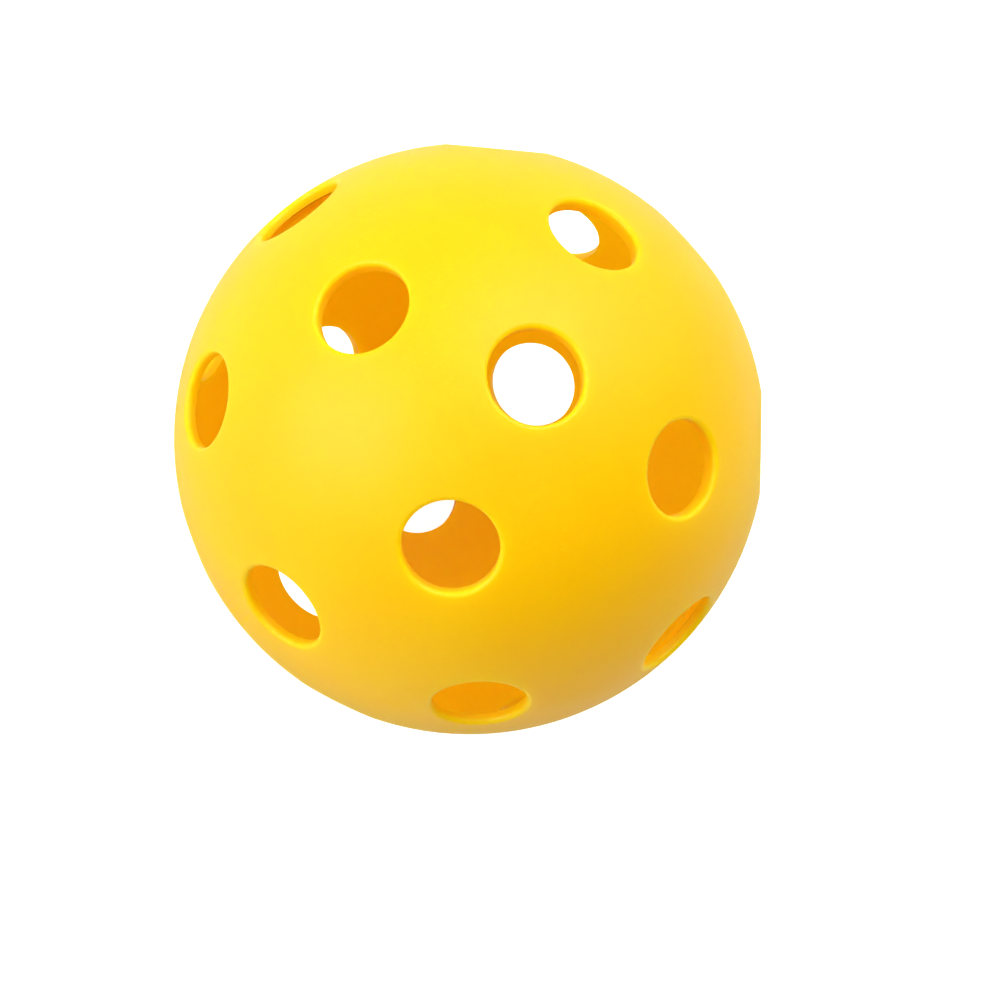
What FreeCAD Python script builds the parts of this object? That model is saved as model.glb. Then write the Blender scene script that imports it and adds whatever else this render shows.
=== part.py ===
# Pickleball ball with 26 round holes, the indoor kind: a thin hollow plastic ball.
#
# It is an assembly of three pieces:
#   upper_half_shell  moulded half with 13 holes; its rim ends in an inner locating lip
#   lower_half_shell  the same half, turned over; its rim has the recess for that lip
#   weld_bead         ring of melted plastic that joins the halves, standing on the inside
#
# Each half's wall thins evenly from its pole to the equator: its inside is a sphere too,
# whose centre lies a little beyond the ball's centre, away from that half's pole.
#
# Frame, in millimetres: the origin is the ball's centre, +Z runs out through the upper
# half's pole hole, the halves part in the XY plane, and +X points at one of the four
# holes that surround the upper pole.
import FreeCAD, Part
import math
import os
import Sketcher

from FreeCAD import Placement, Rotation, Vector

# Driving dimensions: alias, value, meaning. Lengths in millimetres, angles in degrees.
SIZES = [
    ("ball_diameter", 74.0, "outside diameter of the ball"),
    ("pole_wall", 2.2, "wall thickness of a half shell at its pole"),
    ("rim_wall", 1.2, "wall thickness that a half shell tapers to at the equator"),
    ("hole_diameter", 11.6, "diameter of every hole"),
    ("rim_rounding", 0.5, "radius that rounds each hole's outer edge"),
    ("near_ring_angle", 35.7, "pole to the axes of the ring of four holes"),
    ("far_ring_angle", 73.1, "pole to the axes of the ring of eight holes"),
    ("far_ring_lead", 22.5, "azimuth of the first of the eight holes"),
    ("profile_azimuth", 45.0, "azimuth of the half shell's profile, clear of all holes"),
    ("lap_height", 1.5, "height of the locating lip at the equator"),
    ("lip_thickness", 0.55, "thickness of the locating lip at the equator"),
    ("lower_turn", 67.5, "turn of the lower half's holes about the ball's axis"),
    ("bead_foot", 2.0, "width of the weld bead where it stands on the wall"),
    ("bead_crown", 1.0, "width of the weld bead across its crown"),
    ("bead_height", 0.6, "height of the weld bead above the inner wall"),
    ("bead_rounding", 0.3, "radius that rounds the crown's edges"),
]
NEAR_RING_HOLES = 4
FAR_RING_HOLES = 8
HOLES_PER_HALF = 1 + NEAR_RING_HOLES + FAR_RING_HOLES

# How far the measured volume of the cut holes may stray from the plain tube formula.
VOLUME_TOLERANCE = 0.02
LENGTH_TOLERANCE = 0.001

# A sketch's own origin point and vertical axis, as Sketcher numbers them.
ORIGIN_POINT = (-1, 1)
VERTICAL_AXIS = -2
START, END, CENTRE = 1, 2, 3


def make_sheet(doc):
    """Puts the driving dimensions in a spreadsheet, one row each."""
    sheet = doc.addObject("Spreadsheet::Sheet", "Sizes")
    for row, (alias, value, meaning) in enumerate(SIZES, start=1):
        sheet.set("A%d" % row, meaning)
        sheet.set("B%d" % row, str(value))
        sheet.setAlias("B%d" % row, alias)
    doc.recompute()
    return sheet


def origin_feature(body, role):
    """The body's own origin plane or axis of this role."""
    for feature in body.Origin.OriginFeatures:
        if feature.Role == role:
            return feature
    raise RuntimeError("no %s in %s" % (role, body.Label))


def new_sketch(body, name, plane_role):
    sketch = body.newObject("Sketcher::SketchObject", name)
    sketch.AttachmentSupport = [(origin_feature(body, plane_role), "")]
    sketch.MapMode = "FlatFace"
    return sketch


def drive(sketch, name, constraint, expression):
    """Adds a named dimension to the sketch and binds it to the spreadsheet."""
    index = sketch.addConstraint(constraint)
    sketch.renameConstraint(index, name)
    sketch.setExpression("Constraints." + name, expression)


def arc(centre_height, radius, start_height, end_height):
    """Arc right of the vertical axis, centred on it, that runs up between two heights."""
    circle = Part.Circle(Vector(0, centre_height, 0), Vector(0, 0, 1), radius)
    start_angle = math.asin((start_height - centre_height) / radius)
    end_angle = math.asin((end_height - centre_height) / radius)
    return Part.ArcOfCircle(circle, start_angle, end_angle)


def inner_sphere(sheet):
    """Radius of a half's inner sphere, and how far its centre lies past the ball's."""
    return sheet.ball_diameter / 2 - sheet.rim_wall, sheet.pole_wall - sheet.rim_wall


def wall_at(sheet, angle):
    """Wall thickness of a half shell, at this many degrees from its pole."""
    radius, offset = inner_sphere(sheet)
    lean = math.radians(angle)
    reach = math.sqrt(radius ** 2 - (offset * math.sin(lean)) ** 2) - offset * math.cos(lean)
    return sheet.ball_diameter / 2 - reach


def shell_profile(body, sheet, lap_side):
    """Half section of the shell, pole up.

    At the equator the outer part of the wall stops at the parting plane. The inner part
    runs past it as the locating lip (lap_side -1), or stops short of it and leaves the
    recess for the lip (lap_side +1).
    """
    outer = sheet.ball_diameter / 2
    inner, offset = inner_sphere(sheet)
    inner_top = inner - offset
    step = inner + sheet.lip_thickness
    lap = lap_side * sheet.lap_height
    foot = math.sqrt(inner ** 2 - (lap + offset) ** 2)

    sketch = new_sketch(body, "Profile", "XZ_Plane")
    sketch.setExpression("AttachmentOffset.Rotation.Angle", "Sizes.profile_azimuth")
    sketch.AttachmentOffset = Placement(Vector(), Vector(0, 1, 0), sheet.profile_azimuth)

    outside = sketch.addGeometry(arc(0, outer, 0, outer))
    parting = sketch.addGeometry(Part.LineSegment(Vector(outer, 0, 0), Vector(step, 0, 0)))
    riser = sketch.addGeometry(Part.LineSegment(Vector(step, 0, 0), Vector(step, lap, 0)))
    ledge = sketch.addGeometry(Part.LineSegment(Vector(step, lap, 0), Vector(foot, lap, 0)))
    inside = sketch.addGeometry(arc(-offset, inner, lap, inner_top))
    axis = sketch.addGeometry(Part.LineSegment(Vector(0, inner_top, 0), Vector(0, outer, 0)))

    joints = [
        (outside, START, parting, START),
        (parting, END, riser, START),
        (riser, END, ledge, START),
        (ledge, END, inside, START),
        (inside, END, axis, START),
        (axis, END, outside, END),
        (outside, CENTRE) + ORIGIN_POINT,
    ]
    for joint in joints:
        sketch.addConstraint(Sketcher.Constraint("Coincident", *joint))
    sketch.addConstraint(Sketcher.Constraint("PointOnObject", inside, CENTRE, VERTICAL_AXIS))
    sketch.addConstraint(Sketcher.Constraint("PointOnObject", axis, START, VERTICAL_AXIS))
    sketch.addConstraint(Sketcher.Constraint("PointOnObject", axis, END, VERTICAL_AXIS))
    sketch.addConstraint(Sketcher.Constraint("Horizontal", parting))
    sketch.addConstraint(Sketcher.Constraint("PointOnObject", parting, START, -1))
    sketch.addConstraint(Sketcher.Constraint("Vertical", riser))
    sketch.addConstraint(Sketcher.Constraint("Horizontal", ledge))

    drive(sketch, "outer_radius", Sketcher.Constraint("Radius", outside, outer),
          "Sizes.ball_diameter / 2")
    drive(sketch, "inner_radius", Sketcher.Constraint("Radius", inside, inner),
          "Sizes.ball_diameter / 2 - Sizes.rim_wall")
    drive(sketch, "inner_offset",
          Sketcher.Constraint("DistanceY", inside, CENTRE, *ORIGIN_POINT, offset),
          "Sizes.pole_wall - Sizes.rim_wall")
    drive(sketch, "step_radius",
          Sketcher.Constraint("DistanceX", *ORIGIN_POINT, riser, START, step),
          "Sizes.ball_diameter / 2 - Sizes.rim_wall + Sizes.lip_thickness")
    riser_points = (riser, START, riser, END) if lap_side > 0 else (riser, END, riser, START)
    drive(sketch, "lap", Sketcher.Constraint("DistanceY", *riser_points, abs(lap)),
          "Sizes.lap_height")
    return sketch


def revolve(body, sketch):
    revolution = body.newObject("PartDesign::Revolution", "Shell")
    revolution.Profile = sketch
    revolution.ReferenceAxis = (sketch, ["V_Axis"])
    revolution.Angle = 360
    return revolution


def hole_pocket(body, sheet, name, tilt, azimuth):
    """Cuts one hole from the ball's centre outwards.

    The sketch plane passes through the ball's centre and is tilted from the pole by the
    expression tilt, towards the azimuth that the second expression gives.
    """
    sketch = new_sketch(body, name + "Circle", "XY_Plane")
    lean = "rotation(vector(-sin(%s * 1 deg); cos(%s * 1 deg); 0); %s)"
    turn = lean % (azimuth, azimuth, tilt)
    sketch.setExpression("AttachmentOffset", "placement(vector(0; 0; 0); %s)" % turn)
    radius = sheet.hole_diameter / 2
    circle = Part.Circle(Vector(0, 0, 0), Vector(0, 0, 1), radius)
    round_hole = sketch.addGeometry(circle)
    centre = Sketcher.Constraint("Coincident", round_hole, CENTRE, *ORIGIN_POINT)
    sketch.addConstraint(centre)
    drive(sketch, "radius", Sketcher.Constraint("Radius", round_hole, radius),
          "Sizes.hole_diameter / 2")

    pocket = body.newObject("PartDesign::Pocket", name)
    pocket.Profile = sketch
    pocket.Type = "Length"
    pocket.Reversed = True
    pocket.setExpression("Length", "Sizes.ball_diameter")
    return pocket


def ring_of(body, pocket, name, count):
    """Repeats a hole evenly about the ball's axis."""
    pattern = body.newObject("PartDesign::PolarPattern", name)
    pattern.Originals = [pocket]
    pattern.Axis = (origin_feature(body, "Z_Axis"), [""])
    pattern.Angle = 360
    pattern.Occurrences = count
    body.Tip = pattern
    return pattern


def outer_hole_edges(shape, sheet):
    """Names of the edges where the holes break through the ball's outer surface.

    A hole's edge is a circle, whole or in arcs, so their lengths have to add up to one
    full circle for each hole.
    """
    radius = sheet.hole_diameter / 2
    height = math.sqrt((sheet.ball_diameter / 2) ** 2 - radius ** 2)
    names = []
    total = 0
    for number, edge in enumerate(shape.Edges, start=1):
        if not isinstance(edge.Curve, Part.Circle):
            continue
        radius_fits = abs(edge.Curve.Radius - radius) < LENGTH_TOLERANCE
        height_fits = abs(edge.Curve.Center.Length - height) < LENGTH_TOLERANCE
        if radius_fits and height_fits:
            names.append("Edge%d" % number)
            total += edge.Length
    if abs(total - HOLES_PER_HALF * 2 * math.pi * radius) > LENGTH_TOLERANCE:
        raise RuntimeError("the outer hole edges add up to %.3f mm" % total)
    return names


def half_shell(doc, sheet, label, lap_side):
    """One moulded half, made pole up, with its 13 holes."""
    body = doc.addObject("PartDesign::Body", label)
    body.Label = label
    shell = revolve(body, shell_profile(body, sheet, lap_side))
    doc.recompute()
    solid_volume = shell.Shape.Volume

    hole_pocket(body, sheet, "PoleHole", "0", "0")
    near = hole_pocket(body, sheet, "NearHole", "Sizes.near_ring_angle", "0")
    ring_of(body, near, "NearRing", NEAR_RING_HOLES)
    far = hole_pocket(body, sheet, "FarHole", "Sizes.far_ring_angle", "Sizes.far_ring_lead")
    rings = ring_of(body, far, "FarRing", FAR_RING_HOLES)
    doc.recompute()
    check_holes(sheet, label, solid_volume - rings.Shape.Volume)

    edges = outer_hole_edges(rings.Shape, sheet)
    rounding = body.newObject("PartDesign::Fillet", "RimRounding")
    rounding.Base = (rings, edges)
    rounding.setExpression("Radius", "Sizes.rim_rounding")
    body.Tip = rounding
    doc.recompute()
    return body


def check_holes(sheet, label, cut_volume):
    """Stops if the holes took away more or less material than 13 holes do."""
    depths = wall_at(sheet, 0)
    depths += NEAR_RING_HOLES * wall_at(sheet, sheet.near_ring_angle)
    depths += FAR_RING_HOLES * wall_at(sheet, sheet.far_ring_angle)
    expected = math.pi * (sheet.hole_diameter / 2) ** 2 * depths
    if abs(cut_volume / expected - 1) > VOLUME_TOLERANCE:
        raise RuntimeError("%s: holes cut %.1f mm3, not %.1f" % (label, cut_volume, expected))


def turn_over(body):
    """Turns a half over, pole down, and round to where its holes belong.

    Half a turn about a level axis at azimuth b sends azimuth a to 2 b - a.
    """
    level_axis = "vector(cos(Sizes.lower_turn * 0.5 deg); sin(Sizes.lower_turn * 0.5 deg); 0)"
    body.setExpression("Placement", "placement(vector(0; 0; 0); rotation(%s; 180))" % level_axis)


def bead_profile(body, sheet):
    """Section of the weld bead: its foot on the inner wall, its crown towards the axis.

    It lies evenly about the line where the lip's end meets its recess on the inside. The
    halves' inner spheres cross at the equator, so they leave a small step on that line:
    the foot has one arc on each half, and the step between them.
    """
    inner, offset = inner_sphere(sheet)
    crown = inner - sheet.bead_height
    seam = -sheet.lap_height
    foot_low = seam - sheet.bead_foot / 2
    foot_high = seam + sheet.bead_foot / 2
    crown_bottom = Vector(crown, seam - sheet.bead_crown / 2, 0)
    crown_top = Vector(crown, seam + sheet.bead_crown / 2, 0)
    low_arc = arc(offset, inner, foot_low, seam)
    high_arc = arc(-offset, inner, seam, foot_high)

    sketch = new_sketch(body, "Section", "XZ_Plane")
    low_foot = sketch.addGeometry(low_arc)
    step = sketch.addGeometry(Part.LineSegment(low_arc.EndPoint, high_arc.StartPoint))
    high_foot = sketch.addGeometry(high_arc)
    top_flank = sketch.addGeometry(Part.LineSegment(high_arc.EndPoint, crown_top))
    face = sketch.addGeometry(Part.LineSegment(crown_top, crown_bottom))
    low_flank = sketch.addGeometry(Part.LineSegment(crown_bottom, low_arc.StartPoint))

    joints = [
        (low_foot, END, step, START),
        (step, END, high_foot, START),
        (high_foot, END, top_flank, START),
        (top_flank, END, face, START),
        (face, END, low_flank, START),
        (low_flank, END, low_foot, START),
    ]
    for joint in joints:
        sketch.addConstraint(Sketcher.Constraint("Coincident", *joint))
    for foot in (low_foot, high_foot):
        sketch.addConstraint(Sketcher.Constraint("PointOnObject", foot, CENTRE, VERTICAL_AXIS))
    sketch.addConstraint(Sketcher.Constraint("Horizontal", step))
    sketch.addConstraint(Sketcher.Constraint("Vertical", face))

    inner_radius = "Sizes.ball_diameter / 2 - Sizes.rim_wall"
    inner_offset = "Sizes.pole_wall - Sizes.rim_wall"
    drive(sketch, "low_radius", Sketcher.Constraint("Radius", low_foot, inner), inner_radius)
    drive(sketch, "high_radius", Sketcher.Constraint("Radius", high_foot, inner), inner_radius)
    drive(sketch, "low_offset",
          Sketcher.Constraint("DistanceY", *ORIGIN_POINT, low_foot, CENTRE, offset),
          inner_offset)
    drive(sketch, "high_offset",
          Sketcher.Constraint("DistanceY", high_foot, CENTRE, *ORIGIN_POINT, offset),
          inner_offset)
    drive(sketch, "crown_radius",
          Sketcher.Constraint("DistanceX", *ORIGIN_POINT, face, START, crown),
          inner_radius + " - Sizes.bead_height")
    heights = [
        ("foot_low", (low_foot, START), foot_low, "Sizes.lap_height + Sizes.bead_foot / 2"),
        ("seam", (step, START), seam, "Sizes.lap_height"),
        ("foot_high", (high_foot, END), foot_high, "Sizes.lap_height - Sizes.bead_foot / 2"),
        ("crown_low", (face, END), crown_bottom.y, "Sizes.lap_height + Sizes.bead_crown / 2"),
        ("crown_high", (face, START), crown_top.y, "Sizes.lap_height - Sizes.bead_crown / 2"),
    ]
    for name, point, height, expression in heights:
        drop = Sketcher.Constraint("DistanceY", *point, *ORIGIN_POINT, -height)
        drive(sketch, name, drop, expression)
    return sketch


def weld_bead(doc, sheet, label):
    """Low bead on the inner wall, over the inside line where the halves meet."""
    body = doc.addObject("PartDesign::Body", label)
    body.Label = label
    ring = revolve(body, bead_profile(body, sheet))
    doc.recompute()

    crown = inner_sphere(sheet)[0] - sheet.bead_height
    edges = []
    for number, edge in enumerate(ring.Shape.Edges, start=1):
        is_circle = isinstance(edge.Curve, Part.Circle)
        if is_circle and abs(edge.Curve.Radius - crown) < LENGTH_TOLERANCE:
            edges.append("Edge%d" % number)
    rounding = body.newObject("PartDesign::Fillet", "CrownRounding")
    rounding.Base = (ring, edges)
    rounding.setExpression("Radius", "Sizes.bead_rounding")
    body.Tip = rounding
    doc.recompute()
    return body


def check_document(doc, pieces):
    """Stops if any object failed, or any piece isn't one valid solid."""
    for item in doc.Objects:
        if "Invalid" in item.State or "Error" in item.State:
            raise RuntimeError("%s failed: %s" % (item.Name, item.State))
    for piece in pieces:
        shape = piece.Shape
        if shape.isNull() or not shape.isValid() or len(shape.Solids) != 1:
            raise RuntimeError("%s isn't one valid solid" % piece.Label)


def main():
    doc = FreeCAD.newDocument("PickleballBall")
    sheet = make_sheet(doc)
    upper = half_shell(doc, sheet, "upper_half_shell", lap_side=-1)
    lower = half_shell(doc, sheet, "lower_half_shell", lap_side=1)
    turn_over(lower)
    bead = weld_bead(doc, sheet, "weld_bead")
    doc.recompute()

    pieces = [upper, lower, bead]
    check_document(doc, pieces)
    os.makedirs("parts", exist_ok=True)
    for piece in pieces:
        piece.Shape.exportStep("parts/%s.step" % piece.Label)
        print("%s: %.1f mm3" % (piece.Label, piece.Shape.Volume))


main()
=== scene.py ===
"""Looks of the pickleball: yellow polyethylene shells on a plain pale floor in soft light."""

import math

import bpy
from mathutils import Matrix, Vector


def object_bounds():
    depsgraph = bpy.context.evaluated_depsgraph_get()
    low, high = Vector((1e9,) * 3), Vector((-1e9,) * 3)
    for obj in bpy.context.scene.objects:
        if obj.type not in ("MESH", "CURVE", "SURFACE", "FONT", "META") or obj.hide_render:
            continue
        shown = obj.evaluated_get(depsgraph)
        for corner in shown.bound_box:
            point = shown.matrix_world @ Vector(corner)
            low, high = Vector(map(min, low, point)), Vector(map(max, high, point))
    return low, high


# Camera. Azimuth 0 looks along +Y; the roll turns the picture about the line of sight.
VIEW_AZIMUTH = math.radians(155.41)
VIEW_ELEVATION = math.radians(73.27)
VIEW_ROLL = math.radians(-50.05)
VIEW_DISTANCE = 0.4586
LENS_MM = 131.50
SENSOR_MM = 36.0
NEAREST_SEEN = 0.01
FARTHEST_SEEN = 20
# How far the line of sight passes to the right of the ball's centre and above it. A
# negative distance is to the left or below.
AIM_RIGHT = 0.0038
AIM_UP = -0.00764

# Floor. The camera sees it brighter than the ball does, as an overlit white backdrop.
FLOOR_SIZE = 4.0
FLOOR_COLOUR = (0.6, 0.6, 0.6, 1.0)
FLOOR_ROUGHNESS = 0.9
FLOOR_GLOW = 0.08
FLOOR_GLOW_SEEN = 0.9

# Light: a white surround, which turns warm at the lower right as where a hand would
# reflect light, and three soft boxes. Directions are (right, up, towards the camera), and
# each soft box has its watts. The warmth sets in between two cosines of the angle to its
# direction.
SURROUND = 0.41
SURROUND_SEEN = 1.0
SURROUND_WARM = (1.2, 0.96, 0.0, 1.0)
WARM_DIRECTION = (0.57, -0.8, 0.15)
WARM_FADE = (0.0, 0.8)
SOFT_BOX_SIZE = 0.8
SOFT_BOX_DISTANCE = 0.9
SOFT_BOXES = {
    "left": ((-0.75, 0.1, 0.7), 6.2),
    "upper_right": ((0.35, 0.6, 0.75), 5.3),
    "side_right": ((0.7, 0.7, 0.35), 2.1),
}

# Light bounces many times between the ball's bright inner walls.
MAX_BOUNCES = 32
DIFFUSE_BOUNCES = 24

# Shape of the ball that the masks follow. Lengths are in metres.
OUTER_RADIUS = 0.037
# The inside of each half is a sphere centred a little past the ball's centre.
INNER_RADIUS = 0.0358
INNER_OFFSET = 0.001
RIM_ROUNDING = 0.0005
LAP_HEIGHT = 0.0015

# Masks: the depths under a skin between which they fade, in metres. The seam's fades
# within this height above and below the lap.
OUTSIDE_FADE = (0.00012, 0.00004)
INSIDE_FADE = (0.00005, 0.0002)
RIM_FADE = (RIM_ROUNDING * 2.2, RIM_ROUNDING * 0.8)
SEAM_FADE = 0.008

# Colours of the shells and the weld bead.
WHITE = (1.0, 1.0, 1.0, 1.0)
YELLOW_DEEP = (1.0, 0.55, 0.0004, 1.0)
YELLOW_PALE = (1.0, 0.58, 0.001, 1.0)
# The rubbed yellow is partly wear and partly a painted highlight on the rounding around each
# hole.
YELLOW_RUBBED_AND_HIGHLIGHT = (1.0, 0.66, 0.005, 1.0)
# Painted light: the inner skin is paler than the outer, standing in for light that comes
# through the shell and bounces inside.
YELLOW_INSIDE_PAINTED_LIGHT = (1.0, 0.69, 0.001, 1.0)
# Painted light: the weld bead is far paler than the shell, standing in for light that would
# scatter through it.
WELD_DEEP = (1.0, 0.87, 0.001, 1.0)
WELD_PALE = (1.0, 0.94, 0.003, 1.0)

# How light scatters in the plastic and shines off it.
SCATTER_DEPTH = 0.0042
SCATTER_COLOUR = (1.0, 0.9, 0.2)
PLASTIC_IOR = 1.51
PLASTIC_SHEEN_LEVEL = 0.22
HANDLED_ROUGHNESS = (0.38, 0.46)
WELD_ROUGHNESS = (0.28, 0.4)
RIM_SMOOTHER = 0.07
INSIDE_ROUGHER = 0.08
SCUFF_ROUGHER = 0.12
# How much of the rubbed yellow a scuff takes, and the least and most that a rim takes. On a
# rim that yellow is partly rubbed wear and partly a painted highlight.
SCUFF_RUBBED = 0.35
RIM_RUBBED_AND_HIGHLIGHT = (0.2, 0.9)

# Noise: its features to the metre, finer levels of detail and distortion.
MOTTLE = (55.0, 3.0, 0.4)
RIM_WEAR = (900.0, 2.0, 0.0)
HANDLING = (120.0, 3.0, 0.0)
WAVINESS = (260.0, 1.0, 0.0)
GRAIN = (4200.0, 2.0, 0.0)
SCUFF_PATCHES = (70.0, 1.0, 0.0)
WELD_FLOW = (420.0, 2.0, 0.6)
WELD_GRAIN = (2600.0, 2.0, 0.0)
# Scuffs get their scale from their stretch instead.
SCUFF_STREAKS = (1.0, 0.0, 0.0)

# The span of that noise, which lies between 0 and 1, over which each look sets in.
MOTTLE_SPAN = (0.35, 0.65)
RIM_WEAR_SPAN = (0.35, 0.7)
HANDLING_SPAN = (0.3, 0.7)
SCUFF_PATCH_SPAN = (0.5, 0.62)
SCUFF_STREAK_SPAN = (0.74, 0.79)
WELD_COLOUR_SPAN = (0.35, 0.65)
WELD_ROUGHNESS_SPAN = (0.3, 0.7)

# Scuffs: noise drawn out along one axis, at three different turns (radians). Where the
# skin faces along that axis, they are specks.
SCUFF_STRETCH = (2600.0, 2600.0, 90.0)
SCUFF_TURNS = ((0.3, 0.9, 0.2), (1.3, 0.2, 2.1), (2.2, 1.9, 0.7))

# Relief, in metres.
WAVINESS_RELIEF = 0.00004
GRAIN_RELIEF = 0.000012
SCUFF_RELIEF = 0.00001
WELD_FLOW_RELIEF = 0.00012
WELD_GRAIN_RELIEF = 0.00001


def view_axes():
    """Right, up and backward unit vectors of the camera in the row frame."""
    back = Vector((
        math.sin(VIEW_AZIMUTH) * math.cos(VIEW_ELEVATION),
        -math.cos(VIEW_AZIMUTH) * math.cos(VIEW_ELEVATION),
        math.sin(VIEW_ELEVATION),
    ))
    level_right = Vector((0, 0, 1)).cross(back).normalized()
    level_up = back.cross(level_right)
    up = level_up * math.cos(VIEW_ROLL) + level_right * math.sin(VIEW_ROLL)
    right = level_right * math.cos(VIEW_ROLL) - level_up * math.sin(VIEW_ROLL)
    return right, up, back


def in_view(direction):
    """Unit vector in the row frame of a direction given along the camera's axes."""
    parts = (axis * part for axis, part in zip(view_axes(), direction))
    return sum(parts, Vector()).normalized()


def placed(right, up, back, place):
    """World matrix of something at place whose own axes are these three."""
    turn = Matrix((right, up, back)).transposed().to_4x4()
    return Matrix.Translation(place) @ turn


def make_camera(centre):
    data = bpy.data.cameras.new("camera")
    data.sensor_width = SENSOR_MM
    data.lens = LENS_MM
    data.clip_start = NEAREST_SEEN
    data.clip_end = FARTHEST_SEEN
    camera = bpy.data.objects.new("camera", data)
    bpy.context.scene.collection.objects.link(camera)
    right, up, back = view_axes()
    place = centre + right * AIM_RIGHT + up * AIM_UP + back * VIEW_DISTANCE
    camera.matrix_world = placed(right, up, back, place)
    bpy.context.scene.camera = camera


def new_material(name):
    """A node material with an empty tree but for its output."""
    material = bpy.data.materials.new(name)
    material.use_nodes = True
    tree = material.node_tree
    tree.nodes.clear()
    output = tree.nodes.new("ShaderNodeOutputMaterial")
    return material, tree, output


def map_range(tree, value, source, target, smooth=False):
    """Maps a value from one (low, high) span to another, clamped at both ends."""
    node = tree.nodes.new("ShaderNodeMapRange")
    if smooth:
        node.interpolation_type = "SMOOTHSTEP"
    node.inputs["From Min"].default_value, node.inputs["From Max"].default_value = source
    node.inputs["To Min"].default_value, node.inputs["To Max"].default_value = target
    tree.links.new(value, node.inputs["Value"])
    return node.outputs["Result"]


def noise(tree, coordinates, scale, detail, distortion):
    node = tree.nodes.new("ShaderNodeTexNoise")
    node.inputs["Scale"].default_value = scale
    node.inputs["Detail"].default_value = detail
    node.inputs["Distortion"].default_value = distortion
    tree.links.new(coordinates, node.inputs["Vector"])
    return node.outputs["Fac"]


def math_node(tree, operation, first, second=0.0):
    """Result of an operation on two numbers or sockets. ABSOLUTE reads only the first."""
    node = tree.nodes.new("ShaderNodeMath")
    node.operation = operation
    for socket, source in zip(node.inputs, (first, second)):
        if isinstance(source, (int, float)):
            socket.default_value = source
        else:
            tree.links.new(source, socket)
    return node.outputs["Value"]


def length_of(tree, vector):
    node = tree.nodes.new("ShaderNodeVectorMath")
    node.operation = "LENGTH"
    tree.links.new(vector, node.inputs[0])
    return node.outputs["Value"]


def mix_colours(tree, factor, first, second):
    node = tree.nodes.new("ShaderNodeMix")
    node.data_type = "RGBA"
    tree.links.new(factor, node.inputs["Factor"])
    for socket, colour in ((node.inputs[6], first), (node.inputs[7], second)):
        if isinstance(colour, tuple):
            socket.default_value = colour
        else:
            tree.links.new(colour, socket)
    return node.outputs[2]


def bump(tree, height, distance, below=None):
    node = tree.nodes.new("ShaderNodeBump")
    node.inputs["Strength"].default_value = 1.0
    node.inputs["Distance"].default_value = distance
    tree.links.new(height, node.inputs["Height"])
    if below is not None:
        tree.links.new(below, node.inputs["Normal"])
    return node.outputs["Normal"]


def stretched(tree, coordinates, turn, scale):
    """Coordinates turned and scaled, to draw noise out into thin streaks."""
    node = tree.nodes.new("ShaderNodeMapping")
    node.inputs["Rotation"].default_value = turn
    node.inputs["Scale"].default_value = scale
    tree.links.new(coordinates, node.inputs["Vector"])
    return node.outputs["Vector"]


def make_floor(level):
    bpy.ops.mesh.primitive_plane_add(size=FLOOR_SIZE, location=(0, 0, level))
    floor = bpy.context.object
    floor.name = "floor"
    material, tree, output = new_material("floor")
    paper = tree.nodes.new("ShaderNodeBsdfPrincipled")
    paper.inputs["Base Color"].default_value = FLOOR_COLOUR
    paper.inputs["Roughness"].default_value = FLOOR_ROUGHNESS
    paper.inputs["Emission Color"].default_value = WHITE
    seen = tree.nodes.new("ShaderNodeLightPath").outputs["Is Camera Ray"]
    glow = map_range(tree, seen, (0.0, 1.0), (FLOOR_GLOW, FLOOR_GLOW_SEEN))
    tree.links.new(glow, paper.inputs["Emission Strength"])
    tree.links.new(paper.outputs["BSDF"], output.inputs["Surface"])
    floor.data.materials.append(material)


def make_world():
    """Surround whose warm side lights the ball, but which the camera sees as plain white."""
    world = bpy.data.worlds.new("surround")
    world.use_nodes = True
    tree = world.node_tree
    background = tree.nodes["Background"]
    facing = tree.nodes.new("ShaderNodeVectorMath")
    facing.operation = "DOT_PRODUCT"
    looking = tree.nodes.new("ShaderNodeTexCoord").outputs["Generated"]
    tree.links.new(looking, facing.inputs[0])
    facing.inputs[1].default_value = in_view(WARM_DIRECTION)
    warmth = map_range(tree, facing.outputs["Value"], WARM_FADE, (0.0, 1.0), smooth=True)
    seen = tree.nodes.new("ShaderNodeLightPath").outputs["Is Camera Ray"]
    warmth = math_node(tree, "MULTIPLY", warmth, math_node(tree, "SUBTRACT", 1.0, seen))
    colour = mix_colours(tree, warmth, WHITE, SURROUND_WARM)
    tree.links.new(colour, background.inputs["Color"])
    strength = map_range(tree, seen, (0.0, 1.0), (SURROUND, SURROUND_SEEN))
    tree.links.new(strength, background.inputs["Strength"])
    bpy.context.scene.world = world


def make_lights(centre):
    for name, (direction, watts) in SOFT_BOXES.items():
        data = bpy.data.lights.new(name, "AREA")
        data.shape = "DISK"
        data.size = SOFT_BOX_SIZE
        data.energy = watts
        light = bpy.data.objects.new(name, data)
        bpy.context.scene.collection.objects.link(light)
        towards = in_view(direction)
        light.location = centre + towards * SOFT_BOX_DISTANCE
        light.rotation_mode = "QUATERNION"
        light.rotation_quaternion = towards.to_track_quat("Z", "Y")
        light.visible_camera = False


def scuffs(tree, place):
    """Faint scuffs in patches, 0 on clean plastic and 1 on a scuff: thin streaks, or
    specks where the skin faces along the streaks."""
    marks = None
    for turn in SCUFF_TURNS:
        along = stretched(tree, place, turn, SCUFF_STRETCH)
        streak = map_range(tree, noise(tree, along, *SCUFF_STREAKS), SCUFF_STREAK_SPAN,
                           (0.0, 1.0))
        marks = streak if marks is None else math_node(tree, "MAXIMUM", marks, streak)
    patches = map_range(tree, noise(tree, place, *SCUFF_PATCHES), SCUFF_PATCH_SPAN,
                        (0.0, 1.0))
    return math_node(tree, "MULTIPLY", marks, patches)


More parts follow.
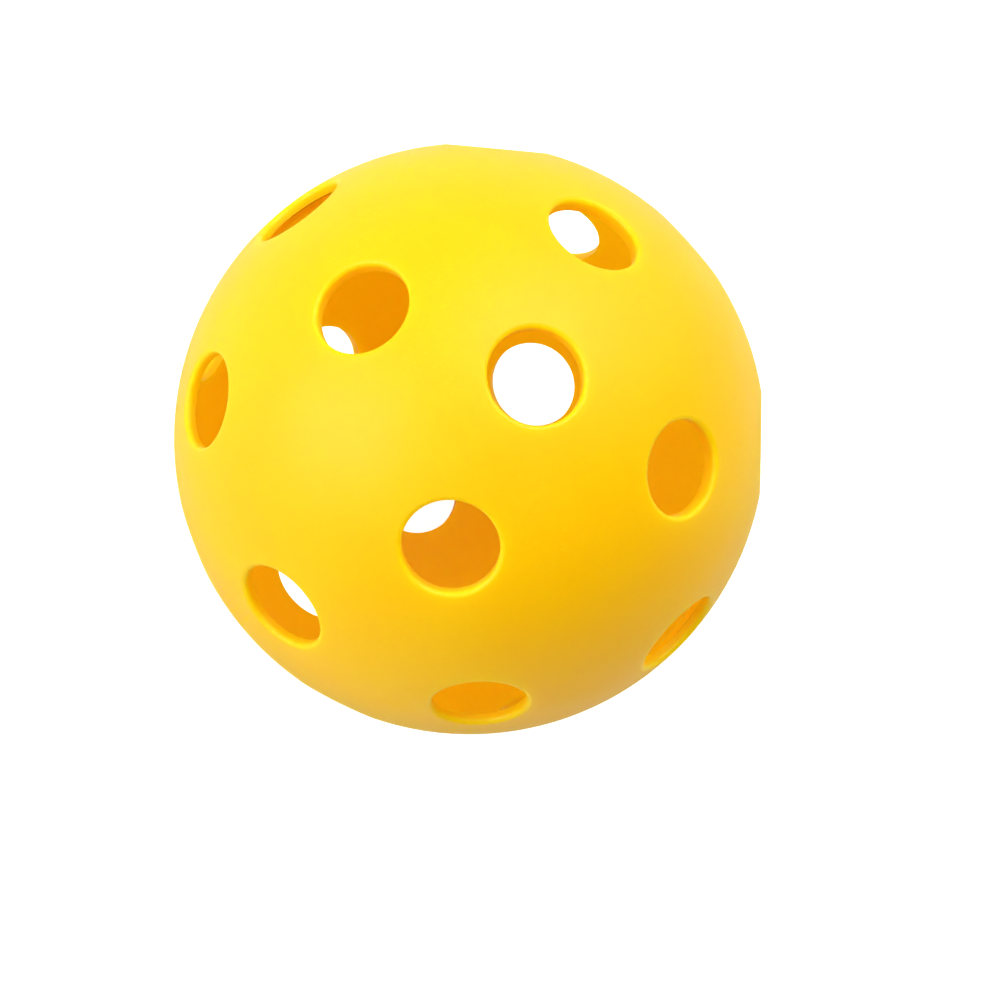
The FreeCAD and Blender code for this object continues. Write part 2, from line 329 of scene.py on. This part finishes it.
def shell_plastic():
    """Satin yellow polyethylene: mottled, finely textured, faintly scuffed, and rubbed at the
    holes, where the rims are also painted paler as a highlight; the inner skin is painted
    paler as light that comes through the shell."""
    material, tree, output = new_material("shell_plastic")
    place = tree.nodes.new("ShaderNodeTexCoord").outputs["Object"]
    radius = length_of(tree, place)
    parts = tree.nodes.new("ShaderNodeSeparateXYZ")
    tree.links.new(place, parts.inputs["Vector"])
    height = parts.outputs["Z"]
    from_inner_centre = tree.nodes.new("ShaderNodeCombineXYZ")
    tree.links.new(parts.outputs["X"], from_inner_centre.inputs["X"])
    tree.links.new(parts.outputs["Y"], from_inner_centre.inputs["Y"])
    lift = math_node(tree, "ADD", math_node(tree, "ABSOLUTE", height), INNER_OFFSET)
    tree.links.new(lift, from_inner_centre.inputs["Z"])
    inner_radius = length_of(tree, from_inner_centre.outputs["Vector"])

    # Each mask is 1 where its name says: the outer skin, the inner skin, the rounding
    # around each hole.
    outside = map_range(tree, radius, [OUTER_RADIUS - deep for deep in OUTSIDE_FADE],
                        (0.0, 1.0))
    inside = map_range(tree, inner_radius, [INNER_RADIUS + deep for deep in INSIDE_FADE],
                       (1.0, 0.0))
    rim = map_range(tree, radius, [OUTER_RADIUS - deep for deep in RIM_FADE], (0.0, 1.0),
                    smooth=True)
    rim = math_node(tree, "MULTIPLY", rim, math_node(tree, "SUBTRACT", 1.0, outside))

    marks = scuffs(tree, place)
    mottle = map_range(tree, noise(tree, place, *MOTTLE), MOTTLE_SPAN, (0.0, 1.0))
    colour = mix_colours(tree, mottle, YELLOW_DEEP, YELLOW_PALE)
    # Painted light: the inner skin takes a paler yellow, as if lit by light through the
    # shell.
    colour = mix_colours(tree, inside, colour, YELLOW_INSIDE_PAINTED_LIGHT)
    # Painted highlight and wear: the rounding around each hole takes a paler yellow, in
    # patches.
    wear = noise(tree, place, *RIM_WEAR)
    rubbed_and_highlighted_rim = math_node(tree, "MULTIPLY", rim,
                         map_range(tree, wear, RIM_WEAR_SPAN, RIM_RUBBED_AND_HIGHLIGHT))
    colour = mix_colours(tree, rubbed_and_highlighted_rim, colour, YELLOW_RUBBED_AND_HIGHLIGHT)
    colour = mix_colours(tree, math_node(tree, "MULTIPLY", marks, SCUFF_RUBBED), colour,
                         YELLOW_RUBBED_AND_HIGHLIGHT)

    roughness = map_range(tree, noise(tree, place, *HANDLING), HANDLING_SPAN,
                          HANDLED_ROUGHNESS)
    changes = (("SUBTRACT", rim, RIM_SMOOTHER), ("ADD", inside, INSIDE_ROUGHER),
               ("ADD", marks, SCUFF_ROUGHER))
    for operation, mask, change in changes:
        roughness = math_node(tree, operation, roughness,
                              math_node(tree, "MULTIPLY", mask, change))

    # Light can't cross the faces where the halves touch, so on the outer skin it
    # scatters less near them.
    off_lap = math_node(tree, "ABSOLUTE", math_node(tree, "ADD", height, LAP_HEIGHT / 2))
    near_lap = map_range(tree, off_lap, (LAP_HEIGHT / 2, LAP_HEIGHT / 2 + SEAM_FADE),
                         (1.0, 0.0))
    depth = map_range(tree, math_node(tree, "MULTIPLY", outside, near_lap), (0.0, 1.0),
                      (SCATTER_DEPTH, 0.0))

    grain = noise(tree, place, *GRAIN)
    waviness = noise(tree, place, *WAVINESS)
    normal = bump(tree, waviness, WAVINESS_RELIEF)
    normal = bump(tree, grain, GRAIN_RELIEF, normal)
    normal = bump(tree, math_node(tree, "SUBTRACT", 1.0, marks), SCUFF_RELIEF, normal)

    plastic = tree.nodes.new("ShaderNodeBsdfPrincipled")
    plastic.inputs["Subsurface Weight"].default_value = 1.0
    plastic.inputs["Subsurface Radius"].default_value = SCATTER_COLOUR
    plastic.inputs["IOR"].default_value = PLASTIC_IOR
    plastic.inputs["Specular IOR Level"].default_value = PLASTIC_SHEEN_LEVEL
    tree.links.new(depth, plastic.inputs["Subsurface Scale"])
    tree.links.new(colour, plastic.inputs["Base Color"])
    tree.links.new(roughness, plastic.inputs["Roughness"])
    tree.links.new(normal, plastic.inputs["Normal"])
    tree.links.new(plastic.outputs["BSDF"], output.inputs["Surface"])
    return material


def weld_plastic():
    """Remelted polyethylene of the inner bead: glossier and rippled, painted much paler than
    the shell as light that would pass through it, and without the scattering that would leak
    its light away through the faces where it touches."""
    material, tree, output = new_material("weld_plastic")
    place = tree.nodes.new("ShaderNodeTexCoord").outputs["Object"]
    flow = noise(tree, place, *WELD_FLOW)
    colour = mix_colours(tree, map_range(tree, flow, WELD_COLOUR_SPAN, (0.0, 1.0)),
                         WELD_DEEP, WELD_PALE)
    normal = bump(tree, flow, WELD_FLOW_RELIEF)
    normal = bump(tree, noise(tree, place, *WELD_GRAIN), WELD_GRAIN_RELIEF, normal)
    plastic = tree.nodes.new("ShaderNodeBsdfPrincipled")
    plastic.inputs["IOR"].default_value = PLASTIC_IOR
    plastic.inputs["Specular IOR Level"].default_value = PLASTIC_SHEEN_LEVEL
    tree.links.new(colour, plastic.inputs["Base Color"])
    tree.links.new(map_range(tree, flow, WELD_ROUGHNESS_SPAN, WELD_ROUGHNESS),
                   plastic.inputs["Roughness"])
    tree.links.new(normal, plastic.inputs["Normal"])
    tree.links.new(plastic.outputs["BSDF"], output.inputs["Surface"])
    return material


def dress(node, material):
    node.data.materials.clear()
    node.data.materials.append(material)


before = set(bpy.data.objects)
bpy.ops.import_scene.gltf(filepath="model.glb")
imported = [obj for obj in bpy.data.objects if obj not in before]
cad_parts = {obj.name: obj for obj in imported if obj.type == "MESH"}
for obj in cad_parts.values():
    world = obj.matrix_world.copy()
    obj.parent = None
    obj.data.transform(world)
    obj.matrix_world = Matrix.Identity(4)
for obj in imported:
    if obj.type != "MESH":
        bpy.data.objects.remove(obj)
cad_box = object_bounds()
lowest, highest = cad_box
centre = (lowest + highest) / 2

scene = bpy.context.scene
scene.view_settings.view_transform = "Standard"
scene.cycles.max_bounces = MAX_BOUNCES
scene.cycles.diffuse_bounces = DIFFUSE_BOUNCES
make_camera(centre)
make_floor(lowest.z)
make_world()
make_lights(centre)

shell_material = shell_plastic()
dress(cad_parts["upper_half_shell"], shell_material)
dress(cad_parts["lower_half_shell"], shell_material)
dress(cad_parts["weld_bead"], weld_plastic())
